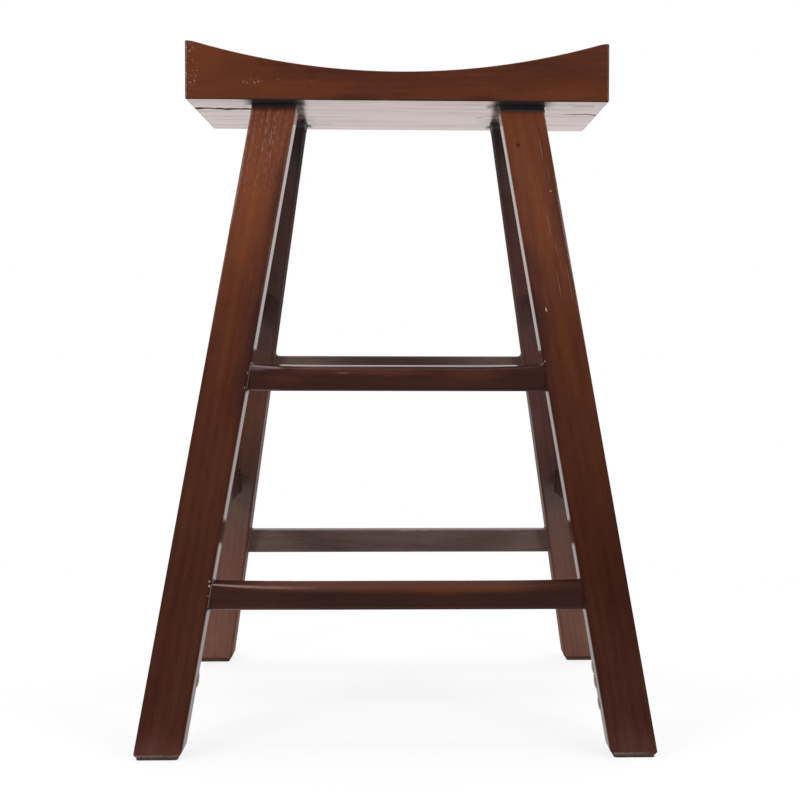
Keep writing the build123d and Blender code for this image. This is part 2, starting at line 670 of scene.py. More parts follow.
# The side that faces down: where it is, its dust and painted sheen, and the lacquer dragged thin in
# streaks and patches
UNDERSIDE_FACES: Step = (0.9, 0.99)
DUST_AND_SHEEN_STREAKS: Step = (0.45, 0.7, 0.0, 0.4)
DRAGGED_STREAKS: Step = (0.4, 0.7, 0.0, 0.22)
DRAGGED_PATCHES: Step = (0.5, 0.8, 0.0, 0.1)
TREAD_FACES: Step = (-0.05, 0.9)
TREAD_BARE: Step = (0.0, 0.3, 0.0, 0.95)
SIDE_FACES: Step = (0.85, 0.97)

# How a mark fades at its outline, where the dark smudges and painted shade take, and where scratches take
CLOUD_FADE = (0.0, 1.05)
MARK_FADE = (0.6, 1.0)
DARK_SMUDGE_AND_SHADE_FACES: Step = (0.2, 0.6)
SCRATCHED: Step = (0.58, 0.66)
# The tone of each kind of mark, and how much of the lacquer it takes off
MARK_TONES = {
    Blemish.KNOT: (srgb(38, 20, 14), 0.5),
    Blemish.CHIP: (srgb(196, 178, 166), 0.7),
    # Pale smears, some of which are painted highlights on eased edges
    Blemish.SMEAR: (srgb(128, 104, 96), 0.5),
    # The dark smudges are partly painted shade and painted reflection of the legs, under the seat
    Blemish.SOOT: (srgb(56, 48, 50), 0.85),
    Blemish.SCUFF: (srgb(164, 138, 134), 0.4),
}


@dataclass(frozen=True)
class StainedWood:
    """Brown stain under a coat of lacquer, over wood with soft rings and fine open pores.

    Attributes:
        deep: The tone of the darkest grain.
        middle: The tone that covers most of the wood.
        bright: The tone of the lightest grain.
        tints: What multiplies the tones at places along the piece. On the legs this paints shade and
            sheen.
        ring_gap: The distance from one ring to the next.
        ring_strength: How much a ring darkens the wood.
        mottle_strength: How much the stain varies from place to place.
        streak_strength: How much the broad streaks of grain vary.
        fibre_strength: How much the single fibres vary.
        speckle_strength: How much the stain varies within a finger's width.
        pore_strength: How dark the open pores are.
        wear_and_highlight: How much of the eased edges is painted pale, as wear and as painted highlight.
        wear_and_highlight_run: How much of that shows at places along the piece.
        wear_and_highlight_gaps: The levels of noise between which a pale stretch is broken.
        wear_and_highlight_side: Where, across the piece, the pale edge goes from none to full.
        pale_tone: The colour of a pale edge, worn and painted highlight alike, and of the filled pores.
        roughness: The roughness of the wood under the lacquer.
        coat_roughness: The roughness of the lacquer.
        coat: How much lacquer lies on the wood at places along the piece.
        coat_on_edges: The share of it that stays on the eased edges.
        thin_side: Where, through the piece, the lacquer on its sides goes from thin to full.
        thin_share: How much of it is missing where it is thin.
        fleck_strength: How pale the filled pores are.
        fleck_span: Where along the piece the filled pores lie.
        fleck_side: Where across the piece they thin out.
        glue: The line where this board meets another, or None.
        underside: The pale tone of the side that faces down, part dust and part painted reflection, or
            None.
        tread: The tone of the top, where feet have rubbed the lacquer off, or None.
        tread_run: How much of that shows at places along the piece.
        marks: The blemishes.
    """

    deep: Colour
    middle: Colour
    bright: Colour
    tints: tuple[tuple[float, Colour], ...] = ()
    ring_gap: float = 5.5 * MM
    ring_strength: float = 0.08
    mottle_strength: float = 0.9
    streak_strength: float = 0.3
    fibre_strength: float = 0.2
    speckle_strength: float = 0.2
    pore_strength: float = 0.2
    wear_and_highlight: float = 0.4
    wear_and_highlight_run: Levels = EVERYWHERE
    wear_and_highlight_gaps: Step = (0.4, 0.62)
    wear_and_highlight_side: Step = (-2.0, -1.0)
    pale_tone: Colour = srgb(150, 125, 120)
    roughness: float = 0.42
    coat_roughness: float = 0.1
    coat: Levels = EVERYWHERE
    coat_on_edges: float = 0.3
    thin_side: Step | None = None
    thin_share: float = 0.75
    fleck_strength: float = 0.0
    fleck_span: Step = (0.0, 1.0)
    fleck_side: Step = (1.0, 2.0)
    glue: GlueLine | None = None
    underside: Colour | None = None
    tread: Colour | None = None
    tread_run: Levels = EVERYWHERE
    marks: tuple[Mark, ...] = ()

    def material(self, name: str, lie: Lie) -> bpy.types.Material:
        """Makes the finish for one piece.

        Args:
            name: The material's name.
            lie: How the piece's grain lies.

        Returns:
            The material.
        """
        made, bench = new_material(name)
        work = Work(bench, lie)
        pore = bench.band(work.layer(PORES), *PORE_OPENS)
        self._stain(work, pore)
        self._flecks(work)
        self._wear_and_highlight(work)
        self._dust_and_sheen(work)
        if self.glue is not None:
            self.glue.draw(work)
        self._tread(work)
        self._mark(work)
        self._thin(work)

        relief = bench.math("SUBTRACT", work.weigh(MIDDLE, *WOOD_RELIEF), bench.times(pore, PORE_DEPTH))
        rough = work.weigh(self.roughness, *ROUGHNESS_SWINGS)
        kept = bench.math("SUBTRACT", 1.0, work.bare, clamp=True)
        bench.end(bench.shader("ShaderNodeBsdfPrincipled", {
            "Base Color": work.colour,
            "Roughness": bench.math("MULTIPLY_ADD", work.bare, BARE_ROUGHNESS, rough, clamp=True),
            "Specular IOR Level": 0.0,
            "Normal": bench.bump(relief, WOOD_DEPTH),
            "Coat Weight": bench.times(kept, bench.levels(work.along, self.coat)),
            "Coat Roughness": self.coat_roughness,
            "Coat IOR": LACQUER_IOR,
            "Coat Normal": bench.bump(work.weigh(MIDDLE, *SKIN_RELIEF), SKIN_DEPTH),
        }))
        return made

    def _stain(self, work: Work, pore: Socket) -> None:
        """Stains the wood, with dark rings and pores, and darker ends, which drink more stain.

        Args:
            work: The finish in the making.
            pore: Where a pore is open.
        """
        bench = work.bench
        tone = work.weigh(MIDDLE, (MOTTLE, self.mottle_strength), (STREAK, self.streak_strength),
                          (FIBRE, self.fibre_strength), (SPECKLE, self.speckle_strength))
        rings = bench.times(self._rings(work), self.ring_strength)
        tone = bench.math("SUBTRACT", tone, rings, clamp=True)
        work.colour = bench.tones(tone, list(zip(TONE_PLACES, (self.deep, self.middle, self.bright))))
        # On the legs the tints paint shade and sheen along their length
        if self.tints:
            work.cover(1.0, bench.tones(work.along, self.tints), "MULTIPLY")
        work.cover(bench.times(pore, self.pore_strength), self.deep, "MULTIPLY")
        end = bench.band(bench.math("ABSOLUTE", bench.facing(work.lie.along.direction)), *END_FACES)
        work.cover(bench.times(end, END_SHARE), self.deep)

    def _rings(self, work: Work) -> Socket:
        """Finds the growth rings.

        Args:
            work: The finish in the making.

        Returns:
            0 in the early wood and 1 in the dark line that ends each year.
        """
        bench = work.bench
        across, through = (bench.math("SUBTRACT", side, pith)
                           for side, pith in zip((work.across, work.through), work.lie.pith))
        from_pith = bench.length(bench.join(across, through, 0.0))
        radius = bench.math("MULTIPLY_ADD", work.layer(RING_SWAY), RING_STRAY, from_pith)
        turn = bench.math("FRACT", bench.math("DIVIDE", radius, self.ring_gap))
        return bench.times(bench.band(turn, *RING_RISE), bench.band(turn, *RING_FALL))

    def _flecks(self, work: Work) -> None:
        """Adds pale dashes where polish dried in the pores, over one stretch of the piece.

        Args:
            work: The finish in the making.
        """
        if not self.fleck_strength:
            return
        bench = work.bench
        dash = bench.times(bench.band(work.layer(DASHES), *DASH_SHOWS),
                           bench.band(work.layer(DASH_ROWS), *ROW_SHOWS))
        stretch = bench.times(bench.band(work.along, *self.fleck_span),
                              bench.band(work.across, *self.fleck_side, 1.0, 0.0))
        work.cover(bench.times(dash, stretch, self.fleck_strength), self.pale_tone)

    def _wear_and_highlight(self, work: Work) -> None:
        """Paints the eased edges pale in broken stretches, as wear and as painted highlight, and takes
        lacquer off them.

        Args:
            work: The finish in the making.
        """
        bench = work.bench
        arris, ridge = work.edges()
        starts = (level - WEAR_AND_HIGHLIGHT_PULL * self.wear_and_highlight for level in RUBBED_AND_HIGHLIGHT_FROM)
        where = bench.times(bench.band(work.layer(RUBBED_AND_HIGHLIGHT_RUNS), *starts),
                            bench.levels(work.along, self.wear_and_highlight_run),
                            bench.band(work.across, *self.wear_and_highlight_side))
        patch = bench.band(work.layer(NICKS), *self.wear_and_highlight_gaps)
        work.cover(bench.times(ridge, where, patch, RUBBED_AND_HIGHLIGHT_SHARE), self.pale_tone)
        work.bare = bench.times(bench.band(arris, *EDGE_BARE), 1 - self.coat_on_edges)

    def _dust_and_sheen(self, work: Work) -> None:
        """Makes the side that faces down paler, as dust and as painted reflection, with the lacquer
        dragged thin in streaks.

        Args:
            work: The finish in the making.
        """
        if self.underside is None:
            return
        bench = work.bench
        below = bench.band(bench.facing(DOWN), *UNDERSIDE_FACES)
        brushed = work.layer(BRUSHED)
        # The pale tone is partly dust and partly painted reflection of the room
        dust = bench.blend(bench.band(brushed, *DUST_AND_SHEEN_STREAKS), self.underside, self.bright)
        work.cover(below, dust)
        drag = bench.math("ADD", bench.band(brushed, *DRAGGED_STREAKS),
                          bench.band(work.layer(MOTTLE), *DRAGGED_PATCHES))
        work.strip(bench.times(below, drag))

    def _tread(self, work: Work) -> None:
        """Rubs the lacquer off the top, where feet rest.

        Args:
            work: The finish in the making.
        """
        if self.tread is None:
            return
        bench = work.bench
        top = bench.band(bench.facing(AXES[2]), *TREAD_FACES)
        work.cover(bench.times(top, bench.levels(work.along, self.tread_run)), self.tread)
        work.strip(bench.band(top, *TREAD_BARE))

    def _mark(self, work: Work) -> None:
        """Draws the blemishes.

        Args:
            work: The finish in the making.
        """
        bench = work.bench
        for mark in self.marks:
            spread = mark.spread(work)
            if mark.kind is Blemish.CLOUD:
                work.cover(bench.band(spread, *CLOUD_FADE, mark.strength, 0.0), mark.tone)
                continue
            tone, loss = MARK_TONES[mark.kind]
            cover = bench.band(spread, *MARK_FADE, mark.strength, 0.0)
            if mark.kind is Blemish.SOOT:
                cover = bench.times(cover, bench.band(bench.facing(DOWN), *DARK_SMUDGE_AND_SHADE_FACES))
            if mark.kind is Blemish.SCUFF:
                cover = bench.times(cover, bench.band(bench.noise(work.inside, GRIT), *SCRATCHED))
            work.cover(cover, tone)
            work.strip(bench.times(cover, loss))

    def _thin(self, work: Work) -> None:
        """Thins the lacquer on the sides that face left and right, towards one edge.

        Args:
            work: The finish in the making.
        """
        if self.thin_side is None:
            return
        bench = work.bench
        side = bench.band(bench.math("ABSOLUTE", bench.facing(AXES[0])), *SIDE_FACES)
        work.strip(bench.times(side, bench.band(work.through, *self.thin_side, self.thin_share, 0.0)))


@dataclass(frozen=True)
class HardRubber:
    """The dull brown rubber of the foot pads.

    Attributes:
        colour: Its tone.
        dust: The tone of the soil on it.
        roughness: The roughness of the smooth places.
        grit_roughness: The roughness of the gritty places.
        grit_depth: How high the grit stands.
        grit: The layer of grit.
        soil: The layer of soil.
        soiled: Where the soil shows, and how much of it.
    """

    colour: Colour = srgb(46, 27, 24)
    dust: Colour = srgb(92, 76, 70)
    roughness: float = 0.62
    grit_roughness: float = 0.8
    grit_depth: float = 0.1 * MM
    grit: Layer = Layer((900, 900, 900))
    soil: Layer = Layer((70, 70, 140), 3)
    soiled: Step = (0.45, 0.8, 0.0, 0.5)

    def material(self, name: str) -> bpy.types.Material:
        """Makes the finish.

        Args:
            name: The material's name.

        Returns:
            The material.
        """
        made, bench = new_material(name)
        point = bench.add("ShaderNodeTexCoord").outputs["Object"]
        grit = bench.noise(point, self.grit)
        soil = bench.band(bench.noise(point, self.soil), *self.soiled)
        bench.end(bench.shader("ShaderNodeBsdfPrincipled", {
            "Base Color": bench.blend(soil, self.colour, self.dust),
            "Roughness": bench.band(grit, 0.0, 1.0, self.roughness, self.grit_roughness),
            "Normal": bench.bump(grit, self.grit_depth),
        }))
        return made


@dataclass(frozen=True)
class DriedLacquer:
    """The finish of lacquer that ran before it dried, and of the dark collars round the legs' tops.

    Attributes:
        colour: Its clear tone.
        shade: Its cloudy tone.
        coat: How glossy its skin is.
        roughness: The roughness of the clear places.
        cloud_roughness: The roughness of the cloudy places.
        skin_roughness: The roughness of its skin.
        specular: How much the body under the skin shines.
        cloud: The layer of cloudiness.
        cloud_depth: How high the cloudy places stand.
    """

    colour: Colour
    shade: Colour
    coat: float
    roughness: float = 0.5
    cloud_roughness: float = 0.7
    skin_roughness: float = 0.15
    specular: float = 0.15
    cloud: Layer = Layer((260, 260, 260), 3)
    cloud_depth: float = 0.15 * MM

    def material(self, name: str) -> bpy.types.Material:
        """Makes the finish.

        Args:
            name: The material's name.

        Returns:
            The material.
        """
        made, bench = new_material(name)
        cloud = bench.noise(bench.add("ShaderNodeTexCoord").outputs["Object"], self.cloud)
        bench.end(bench.shader("ShaderNodeBsdfPrincipled", {
            "Base Color": bench.blend(cloud, self.colour, self.shade),
            "Roughness": bench.band(cloud, 0.0, 1.0, self.roughness, self.cloud_roughness),
            "Specular IOR Level": self.specular,
            "Normal": bench.bump(cloud, self.cloud_depth),
            "Coat Weight": self.coat,
            "Coat Roughness": self.skin_roughness,
        }))
        return made


def dress(piece: bpy.types.Object, material: bpy.types.Material) -> None:
    """Gives a piece one material in all its slots.

    Args:
        piece: The object.
        material: Its finish.
    """
    if not piece.material_slots:
        piece.data.materials.append(material)
    for slot in piece.material_slots:
        slot.material = material


def new_object(name: str, data: bpy.types.ID) -> bpy.types.Object:
    """Adds an object to the scene.

    Args:
        name: Its name.
        data: Its mesh, lamp or camera.

    Returns:
        The object.
    """
    made = bpy.data.objects.new(name, data)
    bpy.context.scene.collection.objects.link(made)
    return made


def mesh_object(name: str, shape: bmesh.types.BMesh) -> bpy.types.Object:
    """Turns a finished bmesh into an object.

    Args:
        name: The object's name.
        shape: Its mesh, which is freed.

    Returns:
        The object.
    """
    mesh = bpy.data.meshes.new(name)
    shape.to_mesh(mesh)
    shape.free()
    return new_object(name, mesh)


def lacquer_piece(name: str, shape: bmesh.types.BMesh, material: bpy.types.Material) -> None:
    """Adds a smooth piece that rides on the stool.

    Args:
        name: The piece's name.
        shape: Its mesh, which is freed.
        material: Its finish.
    """
    bmesh.ops.recalc_face_normals(shape, faces=shape.faces)
    piece = mesh_object(name, shape)
    piece.data.shade_smooth()
    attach(piece, BODY)
    dress(piece, material)


def closed_rings(rings: Sequence[Sequence[Vector]]) -> bmesh.types.BMesh:
    """Joins rings of points into a closed loop of skin, like the skin of a doughnut.

    Args:
        rings: The rings in order, with as many points each.

    Returns:
        The mesh.
    """
    shape = bmesh.new()
    rows = [[shape.verts.new(point) for point in ring] for ring in rings]
    for first, second in zip(rows, rows[1:] + rows[:1]):
        for index in range(len(first)):
            after = (index + 1) % len(first)
            shape.faces.new((first[index], first[after], second[after], second[index]))
    return shape


def rounded_outline(half_width: float, half_height: float, corner: float, step: float = 2 * MM,
                    corner_steps: int = 3) -> list[tuple[Vector, Vector]]:
    """Points round a rectangle with rounded corners, each with its outward direction.

    Args:
        half_width: Half its width.
        half_height: Half its height.
        corner: The radius of its corners.
        step: The distance between points on the straights.
        corner_steps: How many steps each corner is turned in.

    Returns:
        The points and directions, in order round it.
    """
    outline = []
    for number in range(4):
        turn = Matrix.Rotation(number * QUARTER, 2)
        reach, half_run = (half_width, half_height) if number % 2 == 0 else (half_height, half_width)
        straight = half_run - corner
        count = max(2, round(2 * straight / step))
        for index in range(count):
            place = Vector((reach, straight * (2 * index / count - 1)))
            outline.append((turn @ place, turn @ Vector((1, 0))))
        for index in range(corner_steps):
            angle = index * QUARTER / corner_steps
            out = Vector((math.cos(angle), math.sin(angle)))
            outline.append((turn @ (Vector((reach - corner, straight)) + corner * out), turn @ out))
    return outline


@dataclass
class LegLine:
    """The plan that all four legs share: a square bar whose centre line leans outward both ways.

    Attributes:
        side: The bar's side.
        arris: The radius of its eased edges.
        underside: The height of the seat's underside.
        top: The centre line's distances from the middle at the underside, along X and Y.
        foot: The same at the floor.
        pith: How far the tree's centre stood from the leg's own, outward along X and along Y.
    """

    side: float = 47.5 * MM
    arris: float = 3 * MM
    underside: float = 675 * MM
    top: tuple[float, float] = (134 * MM, 76 * MM)
    foot: tuple[float, float] = (240.5 * MM, 237.5 * MM)
    pith: tuple[float, float] = (70 * MM, -95 * MM)

    @property
    def spread(self) -> tuple[float, float]:
        """How far the centre line moves along X and Y for each metre of height."""
        return tuple((top - foot) / self.underside for top, foot in zip(self.top, self.foot))

    def centre(self, axis: int, height: float) -> float:
        """The centre line's distance from the middle along X (0) or Y (1), at a height."""
        return self.foot[axis] + self.spread[axis] * height

    def lie(self, corner: Corner, seed: float) -> Lie:
        """The grain of one leg, which runs along its lean.

        Args:
            corner: Where the leg stands.
            seed: The number that sets its figure apart.

        Returns:
            The grain.
        """
        side_x, side_y = corner.value
        lean_x, lean_y = self.spread
        return Lie(
            along=Measure((0, 0, math.sqrt(1 + lean_x**2 + lean_y**2))),
            across=Measure((1, 0, -side_x * lean_x), -side_x * self.foot[0]),
            through=Measure((0, 1, -side_y * lean_y), -side_y * self.foot[1]),
            pith=(side_x * self.pith[0], side_y * self.pith[1]),
            seed=seed,
            flats=self.side / 2 - self.arris,
        )


@dataclass
class Collar:
    """A dark band with lumps round the top of a leg, under the seat.

    Attributes:
        corner: Where the leg stands.
        plan: The plan of the legs.
        height: How far it reaches down the leg.
        skin: How thick it lies on the leg.
        lip: How far it reaches out along the seat, and how far below the seat it starts to.
        lump: How thick its lumps are.
        lumps: How many lumps there are to the metre.
        sunk: How far its inner side lies inside the leg.
    """

    corner: Corner
    plan: LegLine
    height: float
    skin: float = 0.5 * MM
    lip: float = 1.6 * MM
    lump: float = 1.4 * MM
    lumps: float = 90
    sunk: float = 1.5 * MM

    def build(self, material: bpy.types.Material) -> None:
        """Wraps the dark band round the leg.

        Args:
            material: Its finish.
        """
        top = self.plan.underside
        foot = top - self.height
        profile = ((foot, -self.sunk), (foot, self.skin), (foot + self.height / 2, self.skin),
                   (top - self.lip, self.skin), (top, self.lip), (top, -self.sunk))
        half = self.plan.side / 2
        outline = rounded_outline(half, half, self.plan.arris)
        rings = [[self._point(height, out, place, away) for place, away in outline]
                 for height, out in profile]
        lacquer_piece(f"collar_{self.corner.label}", closed_rings(rings), material)

    def _point(self, height: float, out: float, place: Vector, away: Vector) -> Vector:
        """One point of the collar.

        Args:
            height: Its height above the floor.
            out: How far it lies outside the leg.
            place: The point of the leg's outline that it lies beside.
            away: The outline's outward direction there.

        Returns:
            The point in the stool's frame.
        """
        side_x, side_y = self.corner.value
        middle = Vector((side_x * self.plan.centre(0, height), side_y * self.plan.centre(1, height)))
        swell = noise.noise(Vector((*place, side_x + 2 * side_y)) * self.lumps)
        gathered = self.lump * max(0, swell) if out > 0 else 0.0
        return Vector((*(middle + place + away * (out + gathered)), height))


@dataclass
class Leg:
    """One leg: its solid in stained wood, with a dark collar under the seat.

    Attributes:
        corner: Where it stands.
        plan: The plan of the legs.
        finish: Its finish.
        seed: The number that sets its figure apart.
        collar_height: How far the collar reaches down.
    """

    corner: Corner
    plan: LegLine
    finish: StainedWood
    seed: float
    collar_height: float = 6.5 * MM

    def build(self, frame: dict, dark_collar: bpy.types.Material) -> None:
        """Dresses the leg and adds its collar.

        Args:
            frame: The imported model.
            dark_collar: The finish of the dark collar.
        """
        name = f"leg_{self.corner.label}"
        lie = self.plan.lie(self.corner, self.seed)
        dress(frame["nodes"][name], self.finish.material(f"stain_{name}", lie))
        Collar(self.corner, self.plan, self.collar_height).build(dark_collar)
        LOG.info("%s dressed", name)


@dataclass
class Fillet:
    """Lacquer that gathered round one end of a rail, hollow between the leg's face and the rail's.

    Attributes:
        axis: 0 where the rail runs along X and 1 where it runs along Y.
        side: Which end, -1 or 1.
        middle: The rail's middle.
        half: Half the rail's sizes.
        plan: The plan of the legs.
        seed: The number that sets its lumps apart.
        above: How far it reaches over the rail.
        below: How far it reaches under the rail.
        beside: How far it reaches beside the rail.
        sunk: How far its hidden side lies inside the rail and the leg.
        edge: The radius of the rail's edges.
        lumps: How many lumps there are to the metre.
        uneven: How much its reach varies.
        steps: How many steps its hollow has.
    """

    axis: int
    side: int
    middle: Vector
    half: Vector
    plan: LegLine
    seed: float
    above: float
    below: float = 1.6 * MM
    beside: float = 1.0 * MM
    sunk: float = 0.6 * MM
    edge: float = 3 * MM
    lumps: float = 45
    uneven: float = 0.35
    steps: int = 4

    def build(self, name: str, material: bpy.types.Material) -> None:
        """Lays the lacquer in the corner.

        Args:
            name: The piece's name.
            material: Its finish.
        """
        turns = [index / self.steps * QUARTER for index in range(self.steps + 1)]
        profile = (
            (0.0, -self.sunk, 1.0, 0.0),
            *((0.0, 0.0, 1 - math.sin(turn), 1 - math.cos(turn)) for turn in turns),
            (self.sunk, 0.0, 0.0, 1.0),
            (self.sunk, -self.sunk, 0.0, 0.0),
        )
        outline = rounded_outline(self.half[1 - self.axis], self.half.z, self.edge)
        rings = [[self._point(place - away * inset, away, sink, out_share, run_share)
                  for place, away in outline]
                 for inset, sink, out_share, run_share in profile]
        lacquer_piece(name, closed_rings(rings), material)

    def _point(self, place: Vector, away: Vector, sink: float, out_share: float,
               run_share: float) -> Vector:
        """One point of the fillet.

        Args:
            place: The point of the rail's outline that it lies beside: across and up.
            away: The outline's outward direction there.
            sink: What it is moved along the rail, below zero for into the leg.
            out_share: How far out from the rail it lies, as a share of the reach.
            run_share: How far along the rail it lies, as a share of the reach.

        Returns:
            The point in the stool's frame.
        """
        reach = self.beside * away.x**2 + (self.above if away.y > 0 else self.below) * away.y**2
        swell = noise.noise(Vector((place.x, place.y, self.side + self.seed)) * self.lumps)
        reach *= 1 + self.uneven * swell
        spot = place + away * reach * out_share
        height = self.middle.z + spot.y
        face = self.plan.centre(self.axis, height) - self.plan.side / 2
        run = self.side * (face - reach * run_share - sink)
        across = self.middle[1 - self.axis] + spot.x
        return Vector((run, across, height) if self.axis == 0 else (across, run, height))


@dataclass
class Rail:
    """One rail: its solid in stained wood, with lacquer gathered where it meets the legs.

    Attributes:
        face: The face of the leg frame that it lies in.
        tier: Its height in that face.
        plan: The plan of the legs.
        finish: Its finish.
        seed: The number that sets its figure apart.
        above: How far the lacquer reaches over it.
        pith: Where the tree's centre stood, across and through.
    """

    face: Face
    tier: Tier
    plan: LegLine
    finish: StainedWood
    seed: float
    above: float = 1.6 * MM
    pith: tuple[float, float] = (40 * MM, -30 * MM)

    def build(self, frame: dict) -> None:
        """Dresses the rail and fills its corners.

        Args:
            frame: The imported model.
        """
        name = f"rail_{self.face.name.lower()}_{self.tier.value}"
        low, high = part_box(name)
        middle = (low + high) / 2
        axis = self.face.axis
        lie = Lie(
            along=Measure(AXES[axis], -low[axis]),
            across=Measure(AXES[1 - axis], -middle[1 - axis]),
            through=Measure(AXES[2], -middle.z),
            pith=self.pith,
            seed=self.seed,
        )
        stain = self.finish.material(f"stain_{name}", lie)
        dress(frame["nodes"][name], stain)
        for side, label in ((-1, "start"), (1, "end")):
            corner = Fillet(axis, side, middle, (high - low) / 2, self.plan, self.seed, self.above)
            corner.build(f"lacquer_{name}_{label}", stain)
        LOG.info("%s dressed", name)


@dataclass
class Board:
    """One board of the seat, whose grain runs from end to end.

    Attributes:
        name: The node's name.
        finish: Its finish.
        pith: Where the tree's centre stood, across and through.
        seed: The number that sets its figure apart.
    """

    name: str
    finish: StainedWood
    pith: tuple[float, float]
    seed: float

    def build(self, frame: dict, start: Vector) -> None:
        """Dresses the board.

        Args:
            frame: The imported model.
            start: The corner of the seat that its measures start from.
        """
        measures = (Measure(axis, -place) for axis, place in zip(AXES, start))
        lie = Lie(*measures, pith=self.pith, seed=self.seed)
        dress(frame["nodes"][self.name], self.finish.material(f"stain_{self.name}", lie))
        LOG.info("%s dressed", self.name)


@dataclass
class Seat:
    """The seat, whose boards share one set of measures, so that marks can cross from one to the next.

    Attributes:
        boards: The boards, from the front.
    """

    boards: tuple[Board, ...]

    def build(self, frame: dict) -> None:
        """Dresses the boards.

        Args:
            frame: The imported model.
        """
        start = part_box(self.boards[0].name)[0]
        for board in self.boards:
            board.build(frame, start)


@dataclass
class Runs:
    """Lacquer that ran down a leg's edge and dried there, thin above and full below.

    Attributes:
        corner: Where the leg stands.
        plan: The plan of the legs.
        drops: Each run's height above the floor and its share of the full size.
        across: How far the edge lies from the leg's centre line.
        size: A full run's half lengths.
        taper: How much narrower a run is at its top than at its bottom.
        around: How many faces go round it.
        rows: How many rows of faces it has.
    """

    corner: Corner
    plan: LegLine
    drops: tuple[tuple[float, float], ...]
    across: float = 22.9 * MM
    size: tuple[float, float, float] = (3.3 * MM, 3.0 * MM, 10 * MM)
    taper: float = 0.6
    around: int = 16
    rows: int = 12

    def build(self, material: bpy.types.Material) -> None:
        """Adds the runs to the leg's inner edge, on the side towards the middle of the stool.

        Args:
            material: Their finish.
        """
        name = f"runs_{self.corner.label}"
        shape = bmesh.new()
        for height, share in self.drops:
            ball = bmesh.ops.create_uvsphere(shape, u_segments=self.around, v_segments=self.rows, radius=1)
            for vertex in ball["verts"]:
                vertex.co = self._placed(vertex.co, height, share)
        lacquer_piece(name, shape, material)
        LOG.info("%s added", name)

    def _placed(self, point: Vector, height: float, share: float) -> Vector:
        """Moves a ball's point to its place in a run, which leans as the leg does.

        Args:
            point: The point on a ball of radius 1.
            height: The run's height above the floor.
            share: The run's share of the full size.

        Returns:
            The point in the stool's frame.
        """
        narrow = share * (1 - self.taper * (point.z + 1) / 2)
        level = height + share * self.size[2] * point.z
        x, y = (
            side * (self.plan.centre(axis, level) - self.across) + narrow * self.size[axis] * point[axis]
            for axis, side in enumerate(self.corner.value)
        )
        return Vector((x, y, level))


@dataclass
class FootPads:
    """The rubber pads under the feet.

    Attributes:
        finish: Their finish.
    """

    finish: HardRubber = field(default_factory=HardRubber)

    def build(self, frame: dict) -> None:
        """Dresses the four pads.

        Args:
            frame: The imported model.
        """
        rubber = self.finish.material("pad_rubber")
        for corner in Corner:
            dress(frame["nodes"][f"foot_pad_{corner.label}"], rubber)
        LOG.info("foot pads dressed")


@dataclass(frozen=True)
class Lamp:
    """A soft lamp.

    Attributes:
        name: Its name.
        place: Where it hangs.
        target: What it points at.
        size: Its width and height.
        power: Its power in watts.
    """

    name: str
    place: tuple[float, float, float]
    target: tuple[float, float, float]
    size: tuple[float, float]
    power: float

    def build(self) -> None:
        """Hangs the lamp where the camera doesn't see it."""
        data = bpy.data.lights.new(self.name, "AREA")
        data.shape = "RECTANGLE"
        data.size, data.size_y = self.size
        data.energy = self.power
        lamp = new_object(self.name, data)
        lamp.location = self.place
        aim = Vector(self.target) - Vector(self.place)
        lamp.rotation_euler = aim.to_track_quat("-Z", "Y").to_euler()
        lamp.visible_camera = False


LAMPS = (
    Lamp("left_lamp", (-1.45, -1.95, 1.2), (0, 0, 0.5), (0.55, 0.4), 24),
    Lamp("right_lamp", (1.45, -1.95, 1.2), (0, 0, 0.5), (0.55, 0.4), 20),
    Lamp("top_lamp", (0.0, 0.25, 2.6), (0, 0, 0.4), (2.4, 1.6), 42),
)


